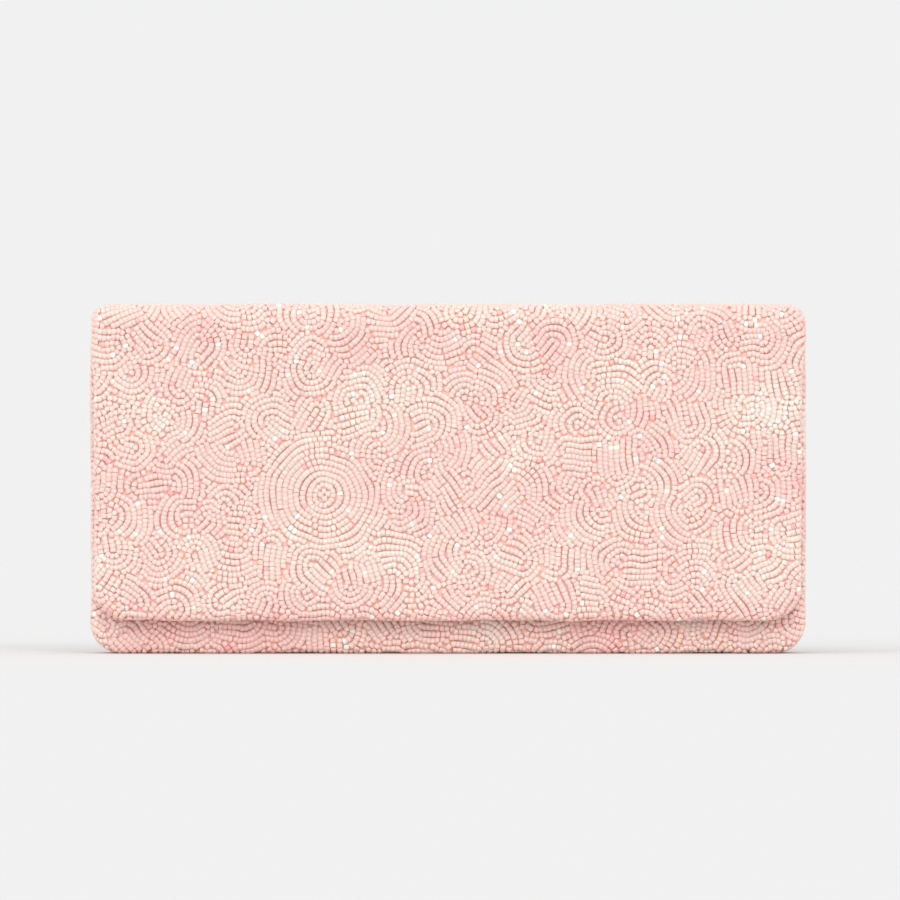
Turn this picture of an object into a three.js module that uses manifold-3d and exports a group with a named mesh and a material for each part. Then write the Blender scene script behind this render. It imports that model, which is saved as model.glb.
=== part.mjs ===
// A flap-over evening clutch: four padded panels folded round a shallow body, with pleated side
// walls, a card pocket and a magnetic snap. Millimetres, +Z up, the front faces -Y, and the origin
// is the middle of the base.
import * as THREE from 'three';
import { mergeVertices } from 'three/addons/utils/BufferGeometryUtils.js';
import Module from 'manifold-3d';

// ---- Overall size ----
const width = 254;
const height = 124;
const depth = 40;

// ---- Layers of a padded panel, from the outside in ----
const coverWall = 2.6;
const padThickness = 1.6;
const boardThickness = 1.3;
const liningThickness = 0.6;
const beadLayer = 2.0;        // the beads' share of the cover's wall
const seatGap = 0.3;          // between two layers that lie on each other

// ---- Outline ----
const edgeRadius = 3;         // rounding of a panel's outer edges
const baseCornerRadius = 11.5;
const flapCornerRadius = 12.4;
const topCornerRadius = 7;
const mouthCornerRadius = 4;
const foldRadius = 7;         // outside of the bends along the top
const flapInset = 1.6;        // the flap is narrower than the body and spine by this at each side
const flapEdgeHeight = 11.7;  // from the base to the flap's lower edge
const mouthDrop = 5;          // the front stops this far below the bends
const flapClearance = 2.4;    // between the flap's facing and the front
const baseRunningGap = 0.8;   // lets the front lean out past the base

// ---- Side walls ----
const gussetThickness = 1.0;
const gussetPleat = 13;       // how far the pleat reaches in at the top
const gussetInset = 1.5;      // from the side of the body
const gussetTopDrop = 1.0;    // below the front's top edge
const gussetSteps = 5;

// ---- Card pocket ----
const pocketWidth = 100;
const pocketHeight = 58;
const pocketBase = 38;
const pocketRoom = 4.4;
const pocketWall = 0.8;
const pocketCornerRadius = 4;

// ---- Magnetic snap ----
const snapHeight = 34;
const snapRadius = 8.5;
const snapRecessGap = 0.8;    // bead-free ring round the socket
const caseFloor = 0.45;
const caseWall = 0.6;
const magnetThickness = 1.15;
const magnetHoleRadius = 4.4;
const plateThickness = 0.6;
const plateHoleRadius = 3.9;
const studPlateThickness = 0.7;
const studRadius = 2.9;
const studTipRadius = 2.4;
const studLength = 2.1;
const rivetRadius = 2.0;
const rivetHeadRadius = 3.2;
const rivetHeadThickness = 0.4;
const washerRadius = 6.0;
const washerThickness = 0.7;
const washerRoom = 0.9;       // from the washer's rim to the fleece round it

// ---- Fineness of the round shapes ----
const cornerSegments = 6;
const edgeSegments = 3;
const turnedSegments = 32;
const overshoot = 5;          // how far a cutting tool runs past the face that it cuts
const trimHeight = 20;        // height of a tool that takes off what stands above a level
const leastRadius = 0.2;      // a corner that is as good as sharp

// ---- Derived places ----
const panelThickness = coverWall + padThickness + boardThickness + liningThickness + 3 * seatGap;
const thinPanelThickness = coverWall + boardThickness + liningThickness + 2 * seatGap;
const halfWidth = width / 2;
const flapHalfWidth = halfWidth - flapInset;
const flapFaceY = -depth / 2;
const flapInnerY = flapFaceY + panelThickness;
const frontFaceY = flapInnerY + flapClearance;
const frontInnerY = frontFaceY + panelThickness;
const backFaceY = depth / 2;
const backInnerY = backFaceY - panelThickness;
const foldCentreZ = height - foldRadius;
const panelTopZ = foldCentreZ - seatGap;
const mouthZ = foldCentreZ - mouthDrop;
const spineHalfDepth = depth / 2 - foldRadius;
const baseFrontY = frontInnerY + baseRunningGap;
const baseBackY = backInnerY - seatGap;

// ---- Materials ----
const cloth = (color, roughness) => new THREE.MeshStandardMaterial({ color, roughness, metalness: 0 });
const metal = (color, roughness) => new THREE.MeshStandardMaterial({ color, roughness, metalness: 1 });
const beaded = cloth(0xf6c3b8, 0.35);
const fleece = cloth(0xf2ede6, 0.95);
const board = cloth(0xb9a07c, 0.9);
const satin = cloth(0xe9bfb0, 0.4);
const gilt = metal(0xd8b98c, 0.3);
const ferrite = cloth(0x3a3634, 0.6);
const steel = metal(0xb8b8b8, 0.35);

// ---- Solid operations ----
const wasm = await Module();
wasm.setup();

function toSolid(geometry) {
  const bare = geometry.clone();
  bare.deleteAttribute('normal');
  bare.deleteAttribute('uv');
  const merged = mergeVertices(bare);
  return new wasm.Manifold(new wasm.Mesh({
    numProp: 3,
    vertProperties: new Float32Array(merged.attributes.position.array),
    triVerts: new Uint32Array(merged.index.array),
  }));
}

function toGeometry(solid) {
  const mesh = solid.getMesh();
  const geometry = new THREE.BufferGeometry();
  geometry.setAttribute('position', new THREE.BufferAttribute(mesh.vertProperties, 3));
  geometry.setIndex(new THREE.BufferAttribute(mesh.triVerts, 1));
  geometry.computeVertexNormals();
  return geometry;
}

function cut(geometry, ...tools) {
  return toGeometry(tools.reduce((solid, tool) => solid.subtract(toSolid(tool)), toSolid(geometry)));
}

function common(geometry, other) {
  return toGeometry(toSolid(geometry).intersect(toSolid(other)));
}

// ---- Shape helpers ----
// A box between two corners.
function block(low, high) {
  const size = high.map((value, i) => value - low[i]);
  const middle = high.map((value, i) => (value + low[i]) / 2);
  return new THREE.BoxGeometry(...size).translate(...middle);
}

// A rounded rectangle in the XZ plane, with one radius below and one above.
function panelOutline(half, low, high, lowRadius, highRadius) {
  const shape = new THREE.Shape();
  shape.moveTo(-half + lowRadius, low);
  shape.lineTo(half - lowRadius, low);
  shape.absarc(half - lowRadius, low + lowRadius, lowRadius, -Math.PI / 2, 0, false);
  shape.lineTo(half, high - highRadius);
  shape.absarc(half - highRadius, high - highRadius, highRadius, 0, Math.PI / 2, false);
  shape.lineTo(-half + highRadius, high);
  shape.absarc(-half + highRadius, high - highRadius, highRadius, Math.PI / 2, Math.PI, false);
  shape.lineTo(-half, low + lowRadius);
  shape.absarc(-half + lowRadius, low + lowRadius, lowRadius, Math.PI, 1.5 * Math.PI, false);
  return shape;
}

const axisX = new THREE.Vector3(1, 0, 0);
const axisY = new THREE.Vector3(0, 1, 0);
const axisZ = new THREE.Vector3(0, 0, 1);

// Extrudes an XZ outline from y = 0 towards the front, to y = -thickness.
function extrudeForward(shape, thickness, bevel = 0) {
  const geometry = new THREE.ExtrudeGeometry(shape, {
    depth: thickness - bevel,
    curveSegments: cornerSegments,
    bevelEnabled: bevel > 0,
    bevelThickness: bevel,
    bevelSize: bevel,
    bevelSegments: edgeSegments,
  });
  return geometry.applyMatrix4(new THREE.Matrix4().makeBasis(axisX, axisZ, axisY.clone().negate()));
}

// Extrudes a YZ outline along X, centred on x = 0.
function extrudeAcross(shape, length) {
  const geometry = new THREE.ExtrudeGeometry(shape, {
    depth: length,
    curveSegments: cornerSegments,
    bevelEnabled: false,
  });
  geometry.applyMatrix4(new THREE.Matrix4().makeBasis(axisY, axisZ, axisX));
  return geometry.translate(-length / 2, 0, 0);
}

// A panel's measures: half its width, its lower and upper ends, and its corner radii.
const frontPanel = {
  half: halfWidth,
  low: 0,
  high: mouthZ,
  lowRadius: baseCornerRadius,
  highRadius: mouthCornerRadius,
};
const backPanel = {
  half: halfWidth,
  low: 0,
  high: panelTopZ,
  lowRadius: baseCornerRadius,
  openTop: true,
};
const flapPanel = {
  half: flapHalfWidth,
  low: flapEdgeHeight,
  high: panelTopZ,
  lowRadius: flapCornerRadius,
  openTop: true,
};

// The panel's outline moved in by a distance. An open top isn't rounded or moved in.
function insetOutline(panel, inset) {
  const top = panel.openTop ? panel.high + overshoot : panel.high - inset;
  const topRadius = panel.openTop ? edgeRadius : Math.max(panel.highRadius - inset, leastRadius);
  const lowRadius = Math.max(panel.lowRadius - inset, leastRadius);
  return panelOutline(panel.half - inset, panel.low + inset, top, lowRadius, topRadius);
}

// Cuts off what stands above an open top.
function trimTop(panel, geometry) {
  if (!panel.openTop) return geometry;
  const above = block([-width, -depth, panel.high], [width, depth, panel.high + trimHeight]);
  return cut(geometry, above);
}

// Cloth turned over a panel's edges: a shallow tray with a rounded outer edge, open to the back.
function panelTray(panel) {
  const raw = extrudeForward(insetOutline(panel, edgeRadius), panelThickness, edgeRadius);
  const behind = block([-width, 0, -height], [width, 2 * overshoot, 2 * height]);
  const room = extrudeForward(insetOutline(panel, coverWall), panelThickness - coverWall + overshoot);
  return trimTop(panel, cut(raw, behind, room.translate(0, overshoot, 0)));
}

// A flat layer that lies inside a tray, with a gap all round.
function panelLayer(panel, thickness) {
  return trimTop(panel, extrudeForward(insetOutline(panel, coverWall + seatGap), thickness));
}

// A solid turned about an axis along Y, from [radius, y] points that start and end on the axis
// or close on themselves.
function turned(points) {
  const profile = points.map(([radius, y]) => new THREE.Vector2(radius, y));
  return new THREE.LatheGeometry(profile, turnedSegments);
}

// Makes the profile of a ring, going round so that its faces point out.
function ring(inner, outer, lowY, highY) {
  return turned([[inner, lowY], [outer, lowY], [outer, highY], [inner, highY], [inner, lowY]]);
}

// A round cutting tool along Y at the snap's place.
function snapHole(radius, lowY, highY) {
  const tool = new THREE.CylinderGeometry(radius, radius, highY - lowY, turnedSegments);
  return tool.translate(0, (lowY + highY) / 2, snapHeight);
}

function piece(name, geometry, material, place = [0, 0, 0]) {
  const mesh = new THREE.Mesh(geometry, material);
  mesh.name = name;
  mesh.position.set(...place);
  return mesh;
}

function assembly(...members) {
  const group = new THREE.Group();
  group.add(...members);
  return group;
}

// ---- Layer places, counted from a panel's open side forward ----
const boardOffset = liningThickness + seatGap;
const padOffset = boardOffset + boardThickness + seatGap;

// ---- Front: cover, fleece, board and lining, with the snap's socket ----
const clothFloorY = frontFaceY + beadLayer;
const clothBackY = frontFaceY + coverWall;
const frontHole = rivetRadius + seatGap;

function frontCover() {
  const tray = panelTray(frontPanel).translate(0, frontInnerY, 0);
  const recess = snapHole(snapRadius + snapRecessGap, frontFaceY - overshoot, clothFloorY);
  return cut(tray, recess, snapHole(frontHole, frontFaceY, clothBackY + seatGap));
}

function frontPadding() {
  const layer = panelLayer(frontPanel, padThickness).translate(0, frontInnerY - padOffset, 0);
  return cut(layer, snapHole(washerRadius + washerRoom, frontFaceY, frontInnerY));
}

function snapSocket() {
  const floorY = clothFloorY - seatGap;
  const innerFloorY = floorY - caseFloor;
  const magnetBackY = innerFloorY - seatGap;
  const magnetFrontY = magnetBackY - magnetThickness;
  const plateBackY = magnetFrontY - seatGap;
  const frontY = plateBackY - plateThickness;
  const washerFrontY = clothBackY + seatGap;
  const washerBackY = washerFrontY + washerThickness;
  const headY = washerBackY + seatGap;
  const innerRadius = snapRadius - caseWall;
  const shell = turned([
    [0, innerFloorY], [innerRadius, innerFloorY], [innerRadius, frontY], [snapRadius, frontY],
    [snapRadius, floorY], [rivetRadius, floorY], [rivetRadius, headY], [rivetHeadRadius, headY],
    [rivetHeadRadius, headY + rivetHeadThickness], [0, headY + rivetHeadThickness],
  ]);
  const insideRadius = innerRadius - seatGap;
  const magnet = ring(magnetHoleRadius, insideRadius, magnetFrontY, magnetBackY);
  const plate = ring(plateHoleRadius, insideRadius, frontY, plateBackY);
  const washer = ring(frontHole, washerRadius, washerFrontY, washerBackY);
  const place = [0, 0, snapHeight];
  return [
    piece('snap_socket_case', shell, gilt, place),
    piece('snap_magnet', magnet, ferrite, place),
    piece('snap_socket_plate', plate, gilt, place),
    piece('snap_socket_washer', washer, steel, place),
  ];
}

const front = assembly(
  piece('front_cover', frontCover(), beaded),
  piece('front_padding', frontPadding(), fleece),
  piece('front_board', panelLayer(frontPanel, boardThickness), board, [0, frontInnerY - boardOffset, 0]),
  piece('front_lining', panelLayer(frontPanel, liningThickness), satin, [0, frontInnerY, 0]),
  ...snapSocket(),
);

// ---- Back: the same layers, facing the other way ----
const facingBack = assembly(
  piece('back_cover', panelTray(backPanel), beaded),
  piece('back_padding', panelLayer(backPanel, padThickness), fleece, [0, -padOffset, 0]),
  piece('back_board', panelLayer(backPanel, boardThickness), board, [0, -boardOffset, 0]),
  piece('back_lining', panelLayer(backPanel, liningThickness), satin),
);
facingBack.rotation.z = Math.PI;
facingBack.position.y = backInnerY;

// ---- Base: a channel of cloth turned up at the corners, with its board and lining ----
function bottomCover() {
  const run = baseBackY - baseFrontY;
  const outer = panelOutline(halfWidth, 0, height, baseCornerRadius, edgeRadius);
  const innerRadius = baseCornerRadius - coverWall;
  const inner = panelOutline(halfWidth - coverWall, coverWall, height, innerRadius, edgeRadius);
  const above = block([-width, -depth, baseCornerRadius], [width, depth, 2 * height]);
  const room = extrudeForward(inner, run + 2 * overshoot).translate(0, overshoot, 0);
  return cut(extrudeForward(outer, run), room, above).translate(0, baseBackY, 0);
}

// A flat layer of the base, between the two trays and inside the turned-up corners.
function baseLayer(lowZ, thickness) {
  const half = halfWidth - baseCornerRadius;
  return block([-half, baseFrontY, lowZ], [half, baseBackY, lowZ + thickness]);
}

const bottomBoardZ = coverWall + seatGap;
const bottomLiningZ = bottomBoardZ + boardThickness + seatGap;
const base = assembly(
  piece('bottom_cover', bottomCover(), beaded),
  piece('bottom_board', baseLayer(bottomBoardZ, boardThickness), board),
  piece('bottom_lining', baseLayer(bottomLiningZ, liningThickness), satin),
);

// ---- Side walls: a sheet with one pleat that grows from nothing at its foot ----
// Its section at one height is six points: the sheet's outer side from front to back, then its
// inner side from back to front.
function gussetSection(pleat, z) {
  const outerX = halfWidth - gussetInset;
  const frontY = frontInnerY + seatGap;
  const backY = baseBackY;
  const middleY = (frontY + backY) / 2;
  const innerX = outerX - gussetThickness;
  return [
    [outerX, frontY, z], [outerX - pleat, middleY, z], [outerX, backY, z],
    [innerX, backY, z], [innerX - pleat, middleY, z], [innerX, frontY, z],
  ];
}

function gusset(side) {
  const footZ = baseCornerRadius + seatGap;
  const topZ = mouthZ - gussetTopDrop;
  const rings = [];
  for (let step = 0; step <= gussetSteps; step += 1) {
    const share = step / gussetSteps;
    rings.push(gussetSection(gussetPleat * share, footZ + (topZ - footZ) * share));
  }
  const count = rings[0].length;
  const indices = [];
  for (let start = 0; start < gussetSteps * count; start += count) {
    for (let i = 0; i < count; i += 1) {
      const low = start + i;
      const lowNext = start + ((i + 1) % count);
      // Both sides of the sheet are split along the same diagonals, up to the pleat's crease.
      if (i % 3 === 0) indices.push(low, lowNext, lowNext + count, low, lowNext + count, low + count);
      else indices.push(low, lowNext, low + count, lowNext, lowNext + count, low + count);
    }
  }
  const topStart = gussetSteps * count;
  for (const [a, b, c] of [[0, 1, 4], [0, 4, 5], [1, 2, 3], [1, 3, 4]]) {
    indices.push(a, c, b, topStart + a, topStart + b, topStart + c);
  }
  if (side < 0) indices.reverse();
  const geometry = new THREE.BufferGeometry();
  geometry.setAttribute('position', new THREE.Float32BufferAttribute(rings.flat(2), 3));
  geometry.setIndex(indices);
  return geometry.scale(side, 1, 1);
}

// ---- Card pocket: a shallow tray on the back lining, open at the top ----
function slipPocket() {
  const half = pocketWidth / 2;
  const run = pocketRoom + pocketWall;
  const top = pocketBase + pocketHeight;
  const outer = panelOutline(half, pocketBase, top + overshoot, pocketCornerRadius, leastRadius);
  const innerRadius = pocketCornerRadius - pocketWall;
  const innerBase = pocketBase + pocketWall;
  const inner = panelOutline(half - pocketWall, innerBase, top + overshoot, innerRadius, leastRadius);
  const room = extrudeForward(inner, pocketRoom + overshoot).translate(0, overshoot, 0);
  const above = block([-width, -depth, top], [width, depth, top + trimHeight]);
  return cut(extrudeForward(outer, run), room, above);
}

const body = assembly(
  facingBack,
  base,
  piece('left_gusset', gusset(-1), satin),
  piece('right_gusset', gusset(1), satin),
  piece('slip_pocket', slipPocket(), satin, [0, backInnerY - seatGap, 0]),
);

// ---- The bends: a quarter turn of cloth along the top back and top front edges ----
function quarterBend() {
  const shape = new THREE.Shape();
  shape.absarc(0, 0, foldRadius, 0, Math.PI / 2, false);
  shape.absarc(0, 0, foldRadius - coverWall, Math.PI / 2, 0, true);
  return extrudeAcross(shape, width);
}

// The top of the bag seen from the front, which rounds the ends of the spine and the bends.
function topOutline() {
  const outline = panelOutline(halfWidth, 0, height, edgeRadius, topCornerRadius);
  return extrudeForward(outline, 2 * depth).translate(0, depth, 0);
}

function bend(side) {
  const quarter = quarterBend();
  if (side < 0) quarter.applyMatrix4(new THREE.Matrix4().makeRotationZ(Math.PI));
  return common(quarter.translate(0, side * spineHalfDepth, foldCentreZ), topOutline());
}

// ---- Spine: cloth along the top, turned down at its ends, over a board and a lining ----
function spineCover() {
  const half = spineHalfDepth - seatGap;
  const lowZ = height - thinPanelThickness;
  const whole = block([-halfWidth, -half, lowZ], [halfWidth, half, height]);
  const innerHalf = halfWidth - coverWall;
  const room = block([-innerHalf, -depth, 0], [innerHalf, depth, height - coverWall]);
  return cut(common(whole, topOutline()), room);
}

function spineLayer(lowZ, thickness) {
  const halfLength = halfWidth - coverWall - seatGap;
  const halfRun = spineHalfDepth - seatGap;
  return block([-halfLength, -halfRun, lowZ], [halfLength, halfRun, lowZ + thickness]);
}

const spineLiningZ = height - thinPanelThickness;
const spineBoardZ = spineLiningZ + liningThickness + seatGap;
const spine = assembly(
  piece('back_fold', bend(1), beaded),
  piece('spine_cover', spineCover(), beaded),
  piece('spine_board', spineLayer(spineBoardZ, boardThickness), board),
  piece('spine_lining', spineLayer(spineLiningZ, liningThickness), satin),
  piece('front_fold', bend(-1), beaded),
);

// ---- Flap: cover, fleece, board and facing, with the snap's stud ----
const boardFrontY = flapInnerY - boardOffset - boardThickness;

function flapPadding() {
  const layer = panelLayer(flapPanel, padThickness).translate(0, flapInnerY - padOffset, 0);
  return cut(layer, snapHole(washerRadius + washerRoom, flapFaceY, flapInnerY));
}

function drilledLayer(thickness, backY) {
  const layer = panelLayer(flapPanel, thickness).translate(0, backY, 0);
  return cut(layer, snapHole(frontHole, flapFaceY, flapInnerY + overshoot));
}

function snapStud() {
  const plateFrontY = flapInnerY + seatGap;
  const plateBackY = plateFrontY + studPlateThickness;
  const washerBackY = boardFrontY - seatGap;
  const washerFrontY = washerBackY - washerThickness;
  const headY = washerFrontY - seatGap / 2;
  const stud = turned([
    [0, headY - rivetHeadThickness], [rivetHeadRadius, headY - rivetHeadThickness],
    [rivetHeadRadius, headY], [rivetRadius, headY], [rivetRadius, plateFrontY],
    [snapRadius, plateFrontY], [snapRadius, plateBackY], [studRadius, plateBackY],
    [studTipRadius, plateBackY + studLength], [0, plateBackY + studLength],
  ]);
  const place = [0, 0, snapHeight];
  return [
    piece('snap_stud', stud, gilt, place),
    piece('snap_stud_washer', ring(frontHole, washerRadius, washerFrontY, washerBackY), steel, place),
  ];
}

const flap = assembly(
  piece('flap_cover', panelTray(flapPanel), beaded, [0, flapInnerY, 0]),
  piece('flap_padding', flapPadding(), fleece),
  piece('flap_board', drilledLayer(boardThickness, flapInnerY - boardOffset), board),
  piece('flap_facing', drilledLayer(liningThickness, flapInnerY), satin),
  ...snapStud(),
);

export default assembly(body, front, spine, flap);
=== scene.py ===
"""A beaded flap-over evening clutch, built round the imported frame. Lengths are millimetres until a
mesh, lamp or camera is made, and become metres there. +X is right, the front faces -Y, +Z is up."""
import math

import bmesh
import bpy
import numpy as np
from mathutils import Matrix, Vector
from mathutils.geometry import delaunay_2d_cdt
from mathutils.kdtree import KDTree


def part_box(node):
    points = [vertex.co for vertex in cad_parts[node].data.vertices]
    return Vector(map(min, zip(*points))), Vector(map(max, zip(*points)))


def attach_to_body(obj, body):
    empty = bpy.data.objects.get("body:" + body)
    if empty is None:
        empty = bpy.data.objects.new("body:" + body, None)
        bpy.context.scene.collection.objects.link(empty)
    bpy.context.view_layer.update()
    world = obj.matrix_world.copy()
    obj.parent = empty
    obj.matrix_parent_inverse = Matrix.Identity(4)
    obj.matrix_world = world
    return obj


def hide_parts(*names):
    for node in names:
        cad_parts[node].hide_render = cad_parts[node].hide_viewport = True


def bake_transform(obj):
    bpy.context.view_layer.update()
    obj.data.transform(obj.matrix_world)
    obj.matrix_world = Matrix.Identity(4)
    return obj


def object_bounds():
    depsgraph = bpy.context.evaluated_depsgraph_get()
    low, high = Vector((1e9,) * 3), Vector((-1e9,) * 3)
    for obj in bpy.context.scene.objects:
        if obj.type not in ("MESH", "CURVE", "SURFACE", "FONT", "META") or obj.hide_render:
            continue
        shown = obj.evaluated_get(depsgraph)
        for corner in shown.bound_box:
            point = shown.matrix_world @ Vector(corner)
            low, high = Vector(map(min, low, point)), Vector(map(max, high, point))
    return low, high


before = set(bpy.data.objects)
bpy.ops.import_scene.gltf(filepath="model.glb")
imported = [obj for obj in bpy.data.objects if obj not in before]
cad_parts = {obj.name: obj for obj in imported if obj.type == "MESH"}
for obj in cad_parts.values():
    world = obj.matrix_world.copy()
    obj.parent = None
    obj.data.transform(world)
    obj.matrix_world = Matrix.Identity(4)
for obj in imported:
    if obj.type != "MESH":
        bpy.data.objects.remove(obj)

cad_low, cad_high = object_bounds()
MM = 0.001
X, Y, Z = np.eye(3)


def box_mm(node):
    low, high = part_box(node)
    return np.array(low) / MM, np.array(high) / MM


# ---- Sizes from the frame ----
flap_low, flap_high = box_mm("flap_cover")
front_low, front_high = box_mm("front_cover")
back_low, back_high = box_mm("back_cover")
bottom_low, bottom_high = box_mm("bottom_cover")
spine_low, spine_high = box_mm("spine_cover")
fold_low, fold_high = box_mm("front_fold")
gusset_low, gusset_high = box_mm("right_gusset")
pocket_low, pocket_high = box_mm("slip_pocket")
stud_low, stud_high = box_mm("snap_stud")
snap_z = (stud_low[2] + stud_high[2]) / 2
snap_radius = (stud_high[0] - stud_low[0]) / 2
height = cad_high.z / MM
fold_radius = fold_high[2] - fold_low[2]
fold_z = fold_low[2]
fold_y = spine_high[1]

# ---- Beads ----
BEAD_RADIUS = 1.05
BEAD_LENGTH = 1.60
BEAD_STEP = 1.50            # along a row
ROW_PITCH = 2.13
PATCH_SPACING = 14.5        # between the middles of two patches of rows
BEAD_SIDES = 8
# A bead's outline from one end of its hole to the other: place along the hole, and radius.
# The beads are a little wider than their rows are apart, so that they press into each other.
BEAD_PROFILE = ((-0.50, 1.01), (-0.32, 1.11), (0.32, 1.11), (0.50, 1.01))
BEAD_FLATTENING = 0.70      # a bead's height against its width
MOST_BEADS = 3300           # in one piece
PATCH_OVERLAP = 1.4         # how much farther from its own middle than from another a bead may lie
PRESSED = 0.8               # the share of their room that two beads need at least, before they settle
GAP_TO_FILL = 1.52          # how far a place is from all beads if it gets one of its own
SETTLING_REACH = 2.6        # beads that are closer than this may push each other
PAINTED_GLINT_SHARE = 0.014       # beads painted nearly white, as painted glints
DEEP_SHARE = 0.009          # beads of a deeper pink
CLOTH_THICKNESS = 0.55
CLOTH_LIFT = -0.15          # the cloth's outer side from the middle of the beads, which sink into it

# ---- Outline radii of the panels, measured outside ----
EDGE_RADIUS = 3.0
END_RADIUS = 7.0            # of the top's two ends
FLAP_CORNER = 12.4
BASE_CORNER = 11.5
MOUTH_CORNER = 4.0
CROWN = 0.9                 # the padded face's rise above its edges
FRONT_CROWN = 0.4
CROWN_FADE = 5.0            # how soon the crown's fall towards the edge dies out inwards
FLAP_FLARE = 28.0           # the stretch below the bend over which the flap widens to the spine
SNAP_MARGIN = 1.6           # between the snap's edge and the beads round it, or the fleece under it


# =================================================== camera, light and floor
CAMERA_DISTANCE = 4000.0
VIEW_WIDTH = 318.4          # what the picture takes in at the bag's front
VIEW_CENTRE = (0.7, 72.2)   # x and z at the middle of the picture
FLOOR_SIZE = 6000.0


def add_object(name, data):
    obj = bpy.data.objects.new(name, data)
    bpy.context.scene.collection.objects.link(obj)
    return obj


def aim(obj, place, target):
    obj.location = Vector(place) * MM
    direction = (Vector(target) - Vector(place)).normalized()
    obj.rotation_euler = direction.to_track_quat("-Z", "Y").to_euler()


def make_camera():
    data = bpy.data.cameras.new("camera")
    data.sensor_width = 36.0
    data.lens = data.sensor_width * CAMERA_DISTANCE / VIEW_WIDTH
    data.clip_end = 20.0
    camera = add_object("camera", data)
    x, z = VIEW_CENTRE
    aim(camera, (x, cad_low.y / MM - CAMERA_DISTANCE, z), (x, 0, z))
    bpy.context.scene.camera = camera


def srgb(red, green, blue):
    """A display colour from 0 to 255 as the linear values that shaders take."""
    parts = [c / 255 for c in (red, green, blue)]
    return tuple(c / 12.92 if c <= 0.04045 else ((c + 0.055) / 1.055) ** 2.4 for c in parts) + (1.0,)


BACKGROUND = srgb(241, 241, 241)


def make_light():
    bpy.context.scene.view_settings.view_transform = "Standard"
    world = bpy.data.worlds.new("studio")
    world.use_nodes = True
    back = world.node_tree.nodes["Background"]
    back.inputs["Color"].default_value = BACKGROUND
    back.inputs["Strength"].default_value = 1.0
    bpy.context.scene.world = world
    for name, strength, spread, place in (
        ("key", 1.54, 80, (-200, -800, 620)),
        ("glint", 0.35, 15, (350, -900, 600)),
    ):
        lamp = bpy.data.lights.new(name, "SUN")
        lamp.energy = strength
        lamp.angle = math.radians(spread)
        aim(add_object(name, lamp), place, (0, 0, 0))


# The floor gives back as much light as the backdrop, so that they look like one sheet.
FLOOR_ALBEDO = (0.714, 0.714, 0.714, 1)


def make_floor():
    half = FLOOR_SIZE / 2 * MM
    mesh = bpy.data.meshes.new("floor")
    corners = [(-half, -half, 0), (half, -half, 0), (half, half, 0), (-half, half, 0)]
    mesh.from_pydata(corners, [], [(0, 1, 2, 3)])
    material = bpy.data.materials.new("floor_paper")
    material.use_nodes = True
    shader = material.node_tree.nodes["Principled BSDF"]
    shader.inputs["Base Color"].default_value = FLOOR_ALBEDO
    shader.inputs["Roughness"].default_value = 0.9
    shader.inputs["Specular IOR Level"].default_value = 0.0
    mesh.materials.append(material)
    add_object("floor", mesh)


# =================================================== materials
class Nodes:
    """A material whose nodes are added one by one, with its Principled shader ready."""

    def __init__(self, name, **plain):
        self.material = bpy.data.materials.new(name)
        self.material.use_nodes = True
        self.tree = self.material.node_tree
        self.shader = self.tree.nodes["Principled BSDF"]
        for socket, value in plain.items():
            self.shader.inputs[socket.replace("_", " ")].default_value = value
        self.place = self.add("ShaderNodeTexCoord").outputs["Object"]

    def add(self, kind, inputs=None, **settings):
        node = self.tree.nodes.new(kind)
        for key, value in settings.items():
            setattr(node, key, value)
        for socket, value in (inputs or {}).items():
            if isinstance(value, bpy.types.NodeSocket):
                self.tree.links.new(value, node.inputs[socket])
            else:
                node.inputs[socket].default_value = value
        return node

    def noise(self, size, detail=2.0):
        """Noise with lumps of about size millimetres."""
        inputs = {"Vector": self.place, "Scale": 1 / (size * MM), "Detail": detail}
        return self.add("ShaderNodeTexNoise", inputs).outputs["Fac"]

    def waves(self, pitch, turn=(0, 0, 0), distortion=0.0):
        """Parallel ribs, pitch millimetres apart, turned by degrees."""
        angles = tuple(math.radians(a) for a in turn)
        turned = self.add("ShaderNodeMapping", {"Vector": self.place, "Rotation": angles})
        # At scale 1 the wave texture's bands are 2 pi / 20 apart.
        scale = 2 * math.pi / (20 * pitch * MM)
        inputs = {"Vector": turned.outputs[0], "Scale": scale, "Distortion": distortion}
        return self.add("ShaderNodeTexWave", inputs).outputs["Fac"]

    def ramp(self, value, *stops):
        node = self.add("ShaderNodeValToRGB", {"Fac": value})
        while len(node.color_ramp.elements) < len(stops):
            node.color_ramp.elements.new(0.5)
        for element, (position, colour) in zip(node.color_ramp.elements, stops):
            element.position = position
            element.color = colour
        return node.outputs["Color"]

    def span(self, value, low, high):
        node = self.add("ShaderNodeMapRange", {"Value": value, "To Min": low, "To Max": high})
        return node.outputs["Result"]

    def math(self, operation, first, second):
        return self.add("ShaderNodeMath", {0: first, 1: second}, operation=operation).outputs[0]

    def link(self, socket, value):
        self.tree.links.new(value, self.shader.inputs[socket])

    def bump(self, height_value, distance, strength=1.0):
        """Relief of about distance millimetres."""
        inputs = {"Height": height_value, "Distance": distance * MM, "Strength": strength}
        self.link("Normal", self.add("ShaderNodeBump", inputs).outputs["Normal"])


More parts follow.
